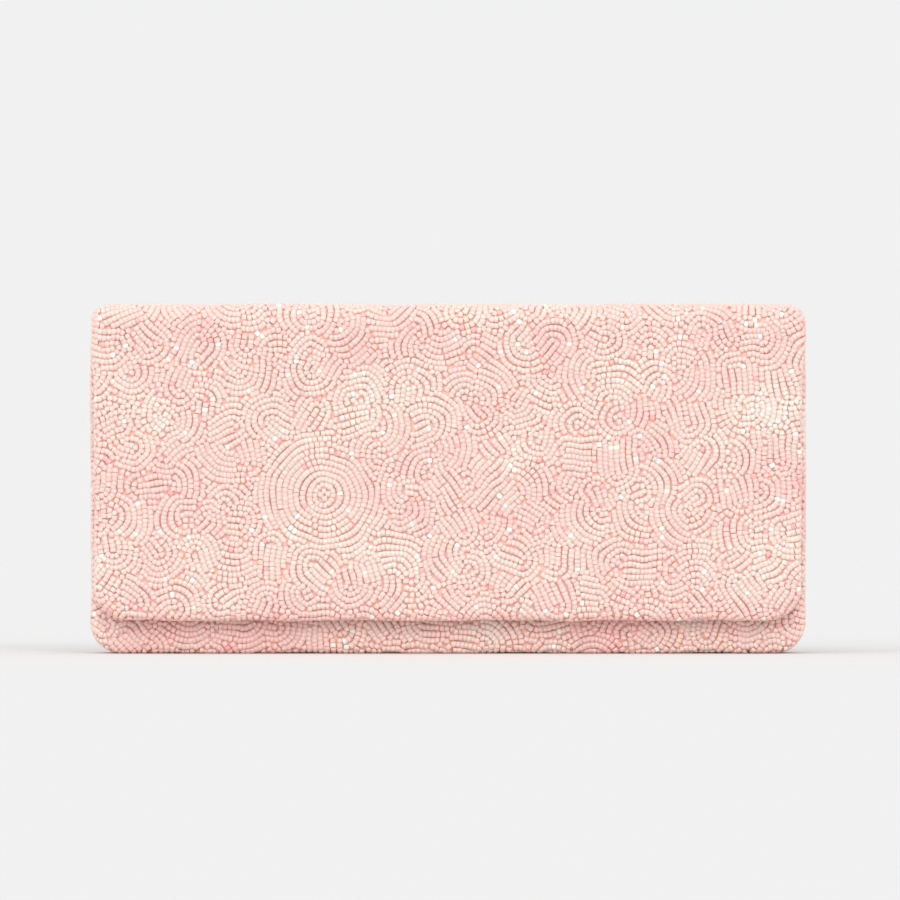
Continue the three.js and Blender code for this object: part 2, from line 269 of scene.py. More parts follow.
def bead_material():
    """Pearly glass: each bead has its own tint, which also carries painted sheen and painted glints, and a
    clear lustre over it.
    """
    n = Nodes(
        "pearl_beads", Coat_Weight=0.35, Coat_Roughness=0.25, IOR=1.5, Subsurface_Weight=0.7,
        Subsurface_Radius=(1.0, 0.8, 0.75), Subsurface_Scale=1.2 * MM,
    )
    tint = n.add("ShaderNodeAttribute", attribute_name="tint").outputs["Fac"]
    cloudy = n.math("ADD", tint, n.span(n.noise(0.8), -0.05, 0.05))
    # The cream end of the ramp is a painted highlight colour, used by the painted glints.
    colour = n.ramp(
        cloudy,
        (0.0, (0.95, 0.44, 0.42, 1)),
        (0.3, (0.97, 0.56, 0.51, 1)),
        (0.65, (0.97, 0.65, 0.57, 1)),
        (1.0, (0.98, 0.88, 0.80, 1)),
    )
    n.link("Base Color", colour)
    n.link("Roughness", n.span(n.noise(3.0), 0.22, 0.38))
    return n.material


def weave_material(name, deep, light, pitch, relief):
    """Plain woven cloth of two sets of threads."""
    n = Nodes(name, Sheen_Weight=0.2)
    n.link("Base Color", n.ramp(n.noise(9.0, 4.0), (0.3, deep), (0.7, light)))
    threads = n.math("MULTIPLY", n.waves(pitch), n.waves(pitch, (0, 90, 0)))
    n.link("Roughness", n.span(threads, 0.75, 0.95))
    n.bump(threads, relief)
    return n.material


def satin_material(name, deep, light):
    """Satin: long floats give a fine diagonal rib and a soft shine along it."""
    n = Nodes(name, Sheen_Weight=0.3, Sheen_Roughness=0.35, Anisotropic=0.5)
    rib = n.waves(0.5, (0, 28, 0), 0.5)
    mottled = n.math("ADD", n.span(rib, 0, 0.2), n.span(n.noise(1.5, 5.0), 0.2, 0.8))
    n.link("Base Color", n.ramp(mottled, (0.25, deep), (0.8, light)))
    n.link("Roughness", n.span(rib, 0.26, 0.42))
    n.bump(n.math("ADD", rib, n.noise(0.5)), 0.03, 0.7)
    return n.material


def metal_material(name, dark, bright, low_roughness, high_roughness, metallic=1.0):
    """Turned metal with faint handling marks."""
    n = Nodes(name, Metallic=metallic)
    marks = n.noise(2.2, 5.0)
    n.link("Base Color", n.ramp(marks, (0.35, dark), (0.7, bright)))
    n.link("Roughness", n.span(marks, low_roughness, high_roughness))
    n.bump(n.noise(0.35, 3.0), 0.01, 0.4)
    return n.material


def fibre_material(name, deep, light, size, relief):
    """Pressed fibres: fleece or board."""
    n = Nodes(name)
    fibres = n.noise(size, 6.0)
    n.link("Base Color", n.ramp(fibres, (0.35, deep), (0.65, light)))
    n.link("Roughness", n.span(fibres, 0.8, 0.97))
    n.bump(fibres, relief)
    return n.material


def make_materials():
    return {
        "beads": bead_material(),
        "cloth": weave_material("bead_cloth", (0.94, 0.60, 0.54, 1), (0.96, 0.66, 0.60, 1), 0.5, 0.08),
        "satin": satin_material("satin_lining", (0.70, 0.42, 0.36, 1), (0.80, 0.53, 0.46, 1)),
        "thread": weave_material("thread", (0.66, 0.34, 0.29, 1), (0.74, 0.42, 0.36, 1), 0.3, 0.03),
        "gilt": metal_material("gilt_metal", (0.76, 0.56, 0.33, 1), (0.86, 0.67, 0.42, 1), 0.17, 0.28),
        "steel": metal_material("plain_steel", (0.42, 0.42, 0.43, 1), (0.58, 0.58, 0.60, 1), 0.28, 0.45),
        "ferrite": metal_material("ferrite", (0.02, 0.019, 0.018, 1), (0.05, 0.047, 0.045, 1), 0.4, 0.6, 0.0),
        "fleece": fibre_material("fleece", (0.78, 0.75, 0.70, 1), (0.88, 0.86, 0.82, 1), 1.2, 0.25),
        "board": fibre_material("board", (0.36, 0.27, 0.17, 1), (0.50, 0.39, 0.26, 1), 2.5, 0.06),
    }


# =================================================== mesh helpers
def make_object(name, points, faces, material, slot):
    """A smooth mesh from points in millimetres."""
    mesh = bpy.data.meshes.new(name)
    mesh.from_pydata((np.asarray(points) * MM).tolist(), [], faces)
    mesh.materials.append(material)
    mesh.shade_smooth()
    mesh.update()
    obj = add_object(name, mesh)
    return obj


def stand_in(obj, node, body):
    """Shows a piece instead of a CAD node, and lets it ride on a body."""
    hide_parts(node)
    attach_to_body(obj, body)


def unit(vectors):
    return vectors / np.linalg.norm(vectors, axis=-1, keepdims=True)


def running_length(points):
    """How far along a line each of its points lies."""
    return np.concatenate([[0], np.cumsum(np.linalg.norm(np.diff(points, axis=0), axis=1))])


def flat_grid(across, along):
    """Every pair of a place across and a place along, one to a row."""
    return np.stack([g.ravel() for g in np.meshgrid(across, along)], 1)


def clear_of(points, hole):
    """The flat points outside a round hole, none close to its edge."""
    if hole is None:
        return points
    middle = hole.mean(0)
    return points[np.linalg.norm(points - middle, axis=1) > np.linalg.norm(hole[0] - middle) + 0.5]


def ripple(seed, amplitude, wavelength, waves=7):
    """A smooth random unevenness over the flat cloth, of about amplitude."""
    r = np.random.default_rng(seed)
    turn = r.uniform(0, 2 * math.pi, waves)
    number = 2 * math.pi / (wavelength * r.uniform(0.6, 1.6, waves))
    phase = r.uniform(0, 2 * math.pi, waves)

    def value(u, s):
        total = 0
        for a, k, p in zip(turn, number, phase):
            total = total + np.sin(k * (np.cos(a) * u + np.sin(a) * s) + p)
        return amplitude * total / math.sqrt(waves)

    return value


def rectangle_distance(u, s, half, low, high, low_radius, high_radius):
    """How far a flat point is outside a rounded rectangle, negative inside, and the flat way out."""
    lower = s < (low + high) / 2
    radius = np.where(lower, low_radius, high_radius)
    along = np.where(lower, low + radius - s, s - high + radius)
    over = np.abs(u) - (half - radius)
    corner = (over > 0) & (along > 0)
    far = np.hypot(over, along) + 1e-9
    side = over >= along
    d = np.where(corner, far, np.maximum(over, along)) - radius
    way_u = np.where(corner, over / far, side) * np.where(u < 0, -1, 1)
    way_s = np.where(corner, along / far, ~side) * np.where(lower, -1, 1)
    return d, way_u, way_s


def corner_arc(half, at_s, way, radius):
    """A flat shape's right-hand corner, from below upwards. way is -1 at the bottom and 1 on top."""
    if radius <= 0:
        return [(half, at_s)]
    angles = (np.linspace(-0.5, 0, 9) if way < 0 else np.linspace(0, 0.5, 9)) * math.pi
    middle = (half - radius, at_s - way * radius)
    return [(middle[0] + radius * math.cos(a), middle[1] + radius * math.sin(a)) for a in angles]


def closed_outline(half_at, low, high, low_radius, high_radius, step=2.4):
    """A flat outline that mirrors left to right, counter-clockwise from the lower right corner."""
    low_arc = corner_arc(half_at(low), low, -1, low_radius)
    high_arc = corner_arc(half_at(high), high, 1, high_radius)
    between = np.arange(low_arc[-1][1] + step / 2, high_arc[0][1] - step / 3, step)
    side = [(half_at(s), s) for s in between]
    loop = np.array(low_arc + side + high_arc)
    ends = []
    for index, way in ((-1, 1), (0, -1)):
        reach, at = loop[index]
        across = np.linspace(way * reach, -way * reach, int(2 * reach / step) + 2)[1:-1]
        ends.append(np.stack([across, np.full(len(across), at)], 1))
    return np.vstack([loop, ends[0], (loop * (-1, 1))[::-1], ends[1]])


def circle(centre, radius, steps=32):
    angles = np.arange(steps) * 2 * math.pi / steps
    return np.array(centre) + radius * np.stack([np.cos(angles), np.sin(angles)], 1)


def triangulate(outline, inner, hole=None):
    """Triangles over the flat shape inside outline, and outside hole, through the inner points."""
    loops = [outline] if hole is None else [outline, hole]
    edges, start = [], 0
    for loop in loops:
        count = len(loop)
        edges += [(start + i, start + (i + 1) % count) for i in range(count)]
        start += count
    points = np.vstack(loops + [inner])
    inside_only, inside_with_holes = 1, 2
    mode = inside_only if hole is None else inside_with_holes
    found = delaunay_2d_cdt([Vector(p) for p in points], edges, [], mode, 1e-6)
    flat = np.array([tuple(v) for v in found[0]])
    faces = []
    for face in found[2]:
        a, b, c = (flat[i] for i in face)
        area = (b[0] - a[0]) * (c[1] - a[1]) - (b[1] - a[1]) * (c[0] - a[0])
        if abs(area) > 1e-7:
            faces.append(tuple(face) if area > 0 else tuple(face)[::-1])
    return flat, faces


def thicken(upper, lower, faces):
    """A closed thin solid between two layers of points that share faces."""
    count = len(upper)
    solid = list(faces) + [tuple(i + count for i in face[::-1]) for face in faces]
    edges = {(a, b) for face in faces for a, b in zip(face, face[1:] + face[:1])}
    for a, b in sorted(edges):
        if (b, a) not in edges:
            solid.append((b, a, a + count, b + count))
    return np.vstack([upper, lower]), solid


def turned(name, profile, material, sides=72):
    """A solid turned about the snap's axis. profile is (radius, y) points, from axis to axis or a ring."""
    points, faces, rows = [], [], []
    for radius, y in profile:
        if radius < 1e-6:
            rows.append([len(points)] * sides)
            points.append((0, y, snap_z))
            continue
        rows.append(list(range(len(points), len(points) + sides)))
        for k in range(sides):
            angle = 2 * math.pi * k / sides
            points.append((radius * math.cos(angle), y, snap_z + radius * math.sin(angle)))
    if profile[0][0] > 1e-6:
        rows.append(rows[0])
    for one, two in zip(rows[:-1], rows[1:]):
        for k in range(sides):
            n = (k + 1) % sides
            face = tuple(dict.fromkeys([one[k], one[n], two[n], two[k]]))
            if len(face) > 2:
                faces.append(face)
    obj = make_object(name, points, faces, material, "gilt_metal")
    whole = bmesh.new()
    whole.from_mesh(obj.data)
    bmesh.ops.recalc_face_normals(whole, faces=whole.faces)
    whole.to_mesh(obj.data)
    whole.free()
    obj.data.set_sharp_from_angle(angle=math.radians(40))
    return obj


# =================================================== the cloth that carries the beads
class Path:
    """A line by its length, in the plane that a cloth runs along, with its outward normals."""

    def __init__(self, points, normals):
        self.points, self.normals = np.array(points), np.array(normals)
        self.length = running_length(self.points)

    def at(self, s):
        point = np.stack([np.interp(s, self.length, self.points[:, k]) for k in range(3)], -1)
        normal = np.stack([np.interp(s, self.length, self.normals[:, k]) for k in range(3)], -1)
        return point, unit(normal)


def arc_points(centre, radius, start, end, first, second, steps=24):
    """Points and normals on an arc in the plane of two axes, from start to end in degrees."""
    angles = np.radians(np.linspace(start, end, steps))
    normals = [math.cos(a) * first + math.sin(a) * second for a in angles]
    return [np.array(centre) + radius * n for n in normals], normals


ABOVE_FLOOR = 0.1           # keeps the largest beads off the floor
FACE_WAVE = (0.2, 38.0)     # the padded faces' unevenness: its height and the length of its waves
EDGE_WAVE = (0.22, 30.0)    # the same for the outline


class Skin:
    """Cloth laid along a path and turned over an edge all round. A flat point is (u, s): u across
    and s along the path. The middle of the beads lies on the skin, at lift 0. half, edge, crown and
    depth are functions of s: half the flat width, the edge's radius, how much lower the edge lies
    than the middle, and how far behind the face the last beads lie."""

    def __init__(self, path, across, half, edge, crown, depth, radii, seed):
        self.path, self.across, self.half, self.edge = path, across, half, edge
        self.crown, self.depth = crown, depth
        self.low_radius, self.high_radius = radii
        self.end = path.length[-1]
        self.face_wave = ripple(seed, *FACE_WAVE)
        self.edge_wave = ripple(seed + 1, *EDGE_WAVE)

    def outside(self, u, s):
        return rectangle_distance(u, s, self.half(s), 0, self.end, self.low_radius, self.high_radius)

    def lip(self, s):
        """How far the beads go past the flat face, along the cloth."""
        edge, depth = self.edge(s), self.depth(s)
        turned = np.arccos(1 - np.minimum(depth / edge, 1))
        return edge * turned + np.maximum(depth - edge, 0)

    def place(self, u, s, lift=0.0):
        """The flat points in space, and the outward normals there."""
        d, way_u, way_s = self.outside(u, s)
        out = np.maximum(d, 0)
        edge = self.edge(s)
        turn = np.minimum(out / edge, math.pi / 2)
        past = out - edge * turn
        u0, s0 = u - way_u * out, s - way_s * out
        point, up = self.path.at(s0)
        outward = way_u[:, None] * self.across + way_s[:, None] * np.cross(up, self.across)
        sine, cosine = np.sin(turn), np.cos(turn)
        normal = outward * sine[:, None] + up * cosine[:, None]
        level = self.face_wave(u0, s0) - self.crown(s) * np.exp(np.minimum(d, 0) / CROWN_FADE)
        aside = edge * sine + self.edge_wave(u0, s0) * sine
        back = edge * (1 - cosine) + past
        point = point + u0[:, None] * self.across + outward * aside[:, None]
        point = point + up * (level - back)[:, None] + normal * np.reshape(lift, (-1, 1))
        point[:, 2] = np.maximum(point[:, 2], BEAD_RADIUS + ABOVE_FLOOR)
        return point, normal


def ease(s, start, end, first, last):
    """Goes smoothly from first to last between start and end."""
    t = np.clip((s - start) / (end - start), 0, 1)
    return first + (last - first) * t * t * (3 - 2 * t)


def constant(value):
    return lambda s: value + 0 * s


CENTRE_EDGE = EDGE_RADIUS - BEAD_RADIUS
CENTRE_END = END_RADIUS - BEAD_RADIUS
CENTRE_FOLD = fold_radius - BEAD_RADIUS
TOP_DEPTH = 3.6         # the cloth ends level with the spine's underside
BEND_MARGIN = 0.5       # how far a bend's own cloth runs onto the straight on each side
panel_depth = flap_high[1] - flap_low[1]


def turned_depth(crown):
    """How far behind a panel's face the beads end, so that they reach its open side."""
    return panel_depth - 2 * BEAD_RADIUS - crown


def long_skin():
    """The one cloth that runs up the flap, over the top and down the back, and where its bends are."""
    front_y = flap_low[1] + BEAD_RADIUS
    back_y = back_high[1] - BEAD_RADIUS
    points, normals = [np.array([0, front_y, flap_low[2] + EDGE_RADIUS])], [-Y]
    for centre_y, start, end in ((-fold_y, 180, 90), (fold_y, 90, 0)):
        more, ways = arc_points((0, centre_y, fold_z), CENTRE_FOLD, start, end, Y, Z)
        points += more
        normals += ways
    points.append(np.array([0, back_y, back_low[2] + EDGE_RADIUS]))
    normals.append(Y)
    path = Path(points, normals)
    rise = fold_z - flap_low[2] - EDGE_RADIUS
    bend = CENTRE_FOLD * math.pi / 2
    level = 2 * fold_y
    bends = (rise, rise + bend, rise + bend + level, rise + 2 * bend + level)
    room = 12.0

    def on_top(face, top):
        rises = lambda s: ease(s, bends[0] - room, bends[1], 0, 1) - ease(s, bends[2], bends[3] + room, 0, 1)
        return lambda s: face + (top - face) * rises(s)

    edge = on_top(CENTRE_EDGE, CENTRE_END)
    outer = lambda s: ease(s, bends[0] - FLAP_FLARE, bends[0], flap_high[0], back_high[0])
    half = lambda s: outer(s) - BEAD_RADIUS - edge(s)
    depth = lambda s: ease(s, bends[0], bends[1], turned_depth(CROWN), TOP_DEPTH) + ease(
        s, bends[2], bends[3], 0, turned_depth(CROWN) - TOP_DEPTH
    )
    radii = (FLAP_CORNER - EDGE_RADIUS, BASE_CORNER - EDGE_RADIUS)
    skin = Skin(path, X, half, edge, on_top(CROWN, 0.1), depth, radii, 21)
    margins = (-BEND_MARGIN, BEND_MARGIN, -BEND_MARGIN, BEND_MARGIN)
    return skin, [mark + margin for mark, margin in zip(bends, margins)]


def front_skin():
    """The body's front, turned over all four edges."""
    y = front_low[1] + BEAD_RADIUS
    ends = (front_low[2] + EDGE_RADIUS, front_high[2] - EDGE_RADIUS)
    path = Path([np.array([0, y, z]) for z in ends], [-Y, -Y])
    radii = (BASE_CORNER - EDGE_RADIUS, MOUTH_CORNER - EDGE_RADIUS)
    depth = constant(turned_depth(FRONT_CROWN))
    half = constant(front_high[0] - EDGE_RADIUS)
    return Skin(path, X, half, constant(CENTRE_EDGE), constant(FRONT_CROWN), depth, radii, 31)


def base_skin():
    """The strip under the body, turned up round the two lower corners."""
    middle_y = (bottom_low[1] + bottom_high[1]) / 2
    side, floor = bottom_high[0], bottom_low[2]
    points, normals = [], []
    for sign, start, end in ((-1, 180, 270), (1, 270, 360)):
        centre = (sign * (side - BASE_CORNER), middle_y, floor + BASE_CORNER)
        more, ways = arc_points(centre, BASE_CORNER - BEAD_RADIUS, start, end, X, Z)
        points += more
        normals += ways
    half = constant((bottom_high[1] - bottom_low[1]) / 2)
    return Skin(Path(points, normals), Y, half, constant(1.0), constant(0.0), constant(1.0), (0, 0), 41)


CLOTH_PAST_BEADS = 0.5      # the margin of bare cloth past the last beads
EDGE_RINGS = (0.0, 0.8, 1.6, 2.4, 3.2, 4.4)     # extra points on the turned edge, by the distance inwards
widest = max(cad_high.x, -cad_low.x) / MM + 10


def skin_shape(skin, low_s, high_s, past, spacing, hole=None):
    """The flat triangles of the skin between two places along it, out to past(s) beyond its face."""
    whole_low, whole_high = low_s <= 0, high_s >= skin.end
    low = -float(past(0.0)) if whole_low else low_s
    high = skin.end + float(past(skin.end)) if whole_high else high_s
    within = lambda s: min(max(s, 0.0), skin.end)
    half_at = lambda s: float(skin.half(within(s)) + past(within(s)))
    low_radius = skin.low_radius + past(0.0) if whole_low and skin.low_radius else 0
    high_radius = skin.high_radius + past(skin.end) if whole_high and skin.high_radius else 0
    outline = closed_outline(half_at, low, high, low_radius, high_radius)
    grid = flat_grid(
        np.arange(-widest, widest, spacing[0]),
        np.arange(low + spacing[1] / 2, high - 0.3 * spacing[1], spacing[1]),
    )
    d, _, _ = skin.outside(grid[:, 0], grid[:, 1])
    inner = [grid[d < min(float(past(0.0)), 0) - 1.5]]
    d, way_u, way_s = skin.outside(outline[:, 0], outline[:, 1])
    way = np.stack([way_u, way_s], 1)
    at_edge = d > past(np.clip(outline[:, 1], 0, skin.end)) - 0.3
    for ring in EDGE_RINGS:
        near = at_edge & (d > ring + 0.6)
        inner.append((outline - way * (d - ring)[:, None])[near])
    inner = np.vstack(inner)
    inner = inner[(inner[:, 1] > low + 0.25) & (inner[:, 1] < high - 0.25)]
    return triangulate(outline, clear_of(inner, hole), hole)


def cloth_piece(name, skin, low_s, high_s, spacing=(5.0, 4.0)):
    """The woven cloth under the beads between two places along the skin, as a thin closed solid."""
    past = (lambda s: skin.lip(s) + CLOTH_PAST_BEADS) if skin.low_radius else constant(-0.3)
    flat, faces = skin_shape(skin, low_s, high_s, past, spacing)
    upper, _ = skin.place(flat[:, 0], flat[:, 1], CLOTH_LIFT)
    lower, _ = skin.place(flat[:, 0], flat[:, 1], CLOTH_LIFT - CLOTH_THICKNESS)
    obj = make_object(name, *thicken(upper, lower, faces), materials["cloth"], "beaded_cloth")
    return obj, flat, faces


def pad_piece(node, skin, low_s, high_s, body):
    """Fleece that fills what the cloth leaves over the board, with a hole for the snap's washer."""
    low, high = box_mm(node)
    forward = abs(low[1]) > abs(high[1])
    board_y = high[1] if forward else low[1]
    hole = None
    if node in ("flap_padding", "front_padding"):
        hole = circle((0, snap_z - skin.path.points[0][2]), snap_radius - SNAP_MARGIN)
    flat, faces = skin_shape(skin, low_s, high_s, constant(-0.2), (5.0, 4.0), hole)
    upper, _ = skin.place(flat[:, 0], flat[:, 1], CLOTH_LIFT - CLOTH_THICKNESS - 0.1)
    lower = upper.copy()
    lower[:, 1] = board_y
    pad = make_object(f"{node}_fleece", *thicken(upper, lower, faces), materials["fleece"], "fleece")
    stand_in(pad, node, body)


# =================================================== beads
def row_round(start, way, length, radius, phase):
    """Bead places and row directions on the closed line at radius round a segment."""
    total = 2 * length + 2 * math.pi * radius
    count = max(int(round(total / BEAD_STEP)), 1)
    t = ((np.arange(count) + phase) * total / count) % total
    cap = math.pi * radius
    heading = math.atan2(way[1], way[0])
    side = np.array([-way[1], way[0]])
    angle = np.full(count, heading)
    place = start + np.outer(t, way) + radius * side
    far = (t >= length) & (t < length + cap)
    turn = heading + math.pi / 2 - (t[far] - length) / max(radius, 1e-6)
    place[far] = start + length * way + radius * np.stack([np.cos(turn), np.sin(turn)], 1)
    angle[far] = turn - math.pi / 2
    back = (t >= length + cap) & (t < 2 * length + cap)
    place[back] = start + np.outer(2 * length + cap - t[back], way) - radius * side
    angle[back] = heading + math.pi
    near = t >= 2 * length + cap
    turn = heading - math.pi / 2 - (t[near] - 2 * length - cap) / max(radius, 1e-6)
    place[near] = start + radius * np.stack([np.cos(turn), np.sin(turn)], 1)
    angle[near] = turn - math.pi / 2
    return np.column_stack([place, angle])


def bead_patches(low, high, seed, special=()):
    """Flat bead places in patches, each of rows nested round a segment of its own, as in the
    stitcher's loops. special patches are (middle, offset, degrees, length, larger by).
    Returns (u, s), the row's direction there and the patch's number."""
    r = np.random.default_rng(seed)
    middles = [np.array(middle, float) for middle, *_ in special]
    shapes = [(offset, math.radians(degrees), length) for _, offset, degrees, length, _ in special]
    weights = [larger for *_, larger in special]
    named, named_weights = np.array(middles).reshape(-1, 2), np.array(weights)
    apart = PATCH_SPACING * 0.87    # the middles stand in staggered rows, as in a honeycomb
    stray = 0.33
    for row in range(int((high[1] - low[1]) / apart) + 2):
        for column in range(int((high[0] - low[0]) / PATCH_SPACING) + 2):
            shift = r.uniform(-stray, stray, 2) * PATCH_SPACING
            place = np.array(low) + ((column + 0.5 * (row % 2)) * PATCH_SPACING, row * apart) + shift
            shape = (r.uniform(-3, 9), r.uniform(0, 2 * math.pi), r.uniform(5, 18))
            gap = np.linalg.norm(named - place, axis=1) - named_weights
            if len(gap) and gap.min() < PATCH_SPACING / 2:
                continue
            middles.append(place)
            shapes.append(shape)
            weights.append(0.0)
    middles, weights = np.array(middles), np.array(weights)
    found = []
    for index in r.permutation(len(middles)):
        offset, turn, length = shapes[index]
        way = np.array([math.cos(turn), math.sin(turn)])
        reach = PATCH_SPACING * 1.1 + weights[index] * 1.5
        start = middles[index] + offset * way
        first = r.choice([0.0, 0.5]) * ROW_PITCH
        radii = np.arange(first, reach + max(offset, -offset - length, 0), ROW_PITCH)
        places = np.vstack([row_round(start, way, length, radius, r.uniform()) for radius in radii])
        near = np.flatnonzero(np.linalg.norm(middles - middles[index], axis=1) < 2.2 * reach + 12)
        distance = np.linalg.norm(places[:, None, :2] - middles[None, near], axis=2) - weights[near]
        own = distance[:, near == index][:, 0] - distance.min(1) < PATCH_OVERLAP
        found.append(np.column_stack([places[own], np.full(own.sum(), index)]))
    found = np.vstack(found)
    warp_u, warp_s = ripple(seed + 5, 0.5, 16.0), ripple(seed + 6, 0.5, 16.0)
    u, s = found[:, 0], found[:, 1]
    return u + warp_u(u, s), s + warp_s(u, s), found[:, 2], found[:, 3]


def tree_of(points):
    tree = KDTree(len(points))
    for i, p in enumerate(points):
        tree.insert(p, i)
    tree.balance()
    return tree


def room_for(turn):
    """How far a bead reaches at an angle to its row."""
    return np.hypot(BEAD_STEP / 2 * np.cos(turn), BEAD_RADIUS * 0.99 * np.sin(turn))


def thin_out(points, u, s, angle):
    """Which beads stay, so that none lies in another: the earlier one wins."""
    tree = tree_of(points)
    kept = np.ones(len(points), bool)
    for i, p in enumerate(points):
        if kept[i]:
            for _, j, distance in tree.find_range(p, 2 * BEAD_RADIUS * PRESSED):
                if j > i and kept[j]:
                    way = math.atan2(s[j] - s[i], u[j] - u[i])
                    if distance < PRESSED * (room_for(angle[i] - way) + room_for(angle[j] - way)):
                        kept[j] = False
    return kept


def fill_gaps(skin, allowed, low, high, points, angles, seed):
    """Single beads for the holes that are left between patches."""
    r = np.random.default_rng(seed)
    step, stray = 0.7, 0.3
    uu, ss = flat_grid(np.arange(low[0], high[0], step), np.arange(low[1], high[1], step)).T
    uu, ss = uu + r.uniform(-stray, stray, len(uu)), ss + r.uniform(-stray, stray, len(ss))
    ok = allowed(uu, ss)
    uu, ss = uu[ok], ss[ok]
    places, _ = skin.place(uu, ss)
    tree = tree_of(points)
    nearest = [tree.find(p) for p in places]
    distance = np.array([n[2] for n in nearest])
    order = np.flatnonzero(distance >= GAP_TO_FILL)
    order = order[np.argsort(-distance[order], kind="stable")]
    free = tree_of(places[order])
    open_yet = np.ones(len(order), bool)
    chosen = []
    for k, i in enumerate(order):
        if open_yet[k]:
            chosen.append(i)
            for _, j, _ in free.find_range(places[i], GAP_TO_FILL):
                open_yet[j] = False
    chosen = np.array(chosen, int)
    return uu[chosen], ss[chosen], np.array([angles[nearest[i][1]] for i in chosen])


def settle(u, s, angle, rounds=8):
    """Beads that press on each other move apart a little, into the gaps beside them."""
    tree = tree_of(np.column_stack([u, s, np.zeros(len(u))]))
    pairs = []
    for i in range(len(u)):
        pairs += [(i, j) for _, j, _ in tree.find_range((u[i], s[i], 0), SETTLING_REACH) if j > i]
    i, j = np.array(pairs).T
    for _ in range(rounds):
        du, ds = u[j] - u[i], s[j] - s[i]
        distance = np.hypot(du, ds) + 1e-6
        way = np.arctan2(ds, du)
        need = room_for(angle[i] - way) + room_for(angle[j] - way)
        push = 0.3 * np.clip(need - distance, 0, 0.6) / distance
        for axis, gap in ((u, du), (s, ds)):
            np.add.at(axis, i, -push * gap)
            np.add.at(axis, j, push * gap)


def lay_beads(skin, allowed, low, high, seed, special=()):
    """Every bead on a skin: its flat place, middle, three directions, size and tint."""
    found = bead_patches(low, high, seed, special)
    ok = allowed(*found[:2])
    u, s, angle, patch = (column[ok] for column in found)
    kept = thin_out(skin.place(u, s)[0], u, s, angle)
    u, s, angle, patch = (column[kept] for column in (u, s, angle, patch))
    more = fill_gaps(skin, allowed, low, high, skin.place(u, s)[0], angle, seed + 1)
    u, s, angle = (np.concatenate([a, b]) for a, b in zip((u, s, angle), more))
    settle(u, s, angle)
    r = np.random.default_rng(seed + 2)
    count = len(u)
    point, normal = skin.place(u, s, r.normal(0, 0.05, count))
    ahead, behind = (skin.place(u + k * np.cos(angle), s + k * np.sin(angle))[0] for k in (0.2, -0.2))
    row = ahead - behind
    row = unit(row - normal * (row * normal).sum(1, keepdims=True))
    side = np.cross(normal, row)
    tilts = (normal * r.normal(0, 0.06, count)[:, None], side * r.normal(0, 0.04, count)[:, None])
    row = unit(row + tilts[0] + tilts[1])
    side = unit(np.cross(normal, row))
    normal = np.cross(row, side)
    size = np.clip(r.normal(1, 0.025, (count, 2)), 0.94, 1.05)
    # Painted sheen: each patch's own shift of tint and the slow ripple stand for rows that catch the light
    # differently by their direction. The scatter from bead to bead is the beads' own tone.
    patch_painted_sheen = np.clip(r.normal(0, 0.05, int(patch.max()) + 1), -0.09, 0.09)
    own = np.concatenate([patch_painted_sheen[patch.astype(int)], np.zeros(count - len(patch))])
    tint = 0.5 + own + ripple(seed + 3, 0.1, 40.0)(u, s) + r.normal(0, 0.055, count)
    chance = r.uniform(size=count)
    # Painted glints: a few beads take the cream end of the ramp. A few others are a deeper pink of their own.
    tint = np.where(chance < PAINTED_GLINT_SHARE, 0.97, np.where(chance > 1 - DEEP_SHARE, 0.03, tint))
    return {
        "u": u, "s": s, "point": point, "row": row, "side": side, "normal": normal,
        "size": size, "tint": np.clip(tint, 0, 1),
    }


def bead_template():
    """One bead's points (along, across, up), its faces and their places on its own bit of texture."""
    angles = 2 * math.pi * np.arange(BEAD_SIDES) / BEAD_SIDES
    points = [
        (along * BEAD_LENGTH, radius * BEAD_RADIUS * math.cos(a), radius * BEAD_RADIUS * math.sin(a))
        for along, radius in BEAD_PROFILE
        for a in angles
    ]
    faces, texture = [], []
    bands = len(BEAD_PROFILE) - 1
    for band in range(bands):
        for k in range(BEAD_SIDES):
            n = (k + 1) % BEAD_SIDES
            one, two = band * BEAD_SIDES, (band + 1) * BEAD_SIDES
            faces.append((one + k, two + k, two + n, one + n))
            left, right = k / BEAD_SIDES, (k + 1) / BEAD_SIDES
            low, high = 0.7 * band / bands, 0.7 * (band + 1) / bands
            texture += [(left, low), (left, high), (right, high), (right, low)]
    for start, middle in ((0, 0.25), (bands * BEAD_SIDES, 0.75)):
        ring = list(range(start, start + BEAD_SIDES))
        order = ring if start == 0 else ring[::-1]
        faces.append(tuple(order))
        for i in order:
            a = angles[i - start]
            texture.append((middle + 0.12 * math.cos(a), 0.86 + 0.12 * math.sin(a)))
    return np.array(points), faces, np.array(texture)


one_bead = bead_template()


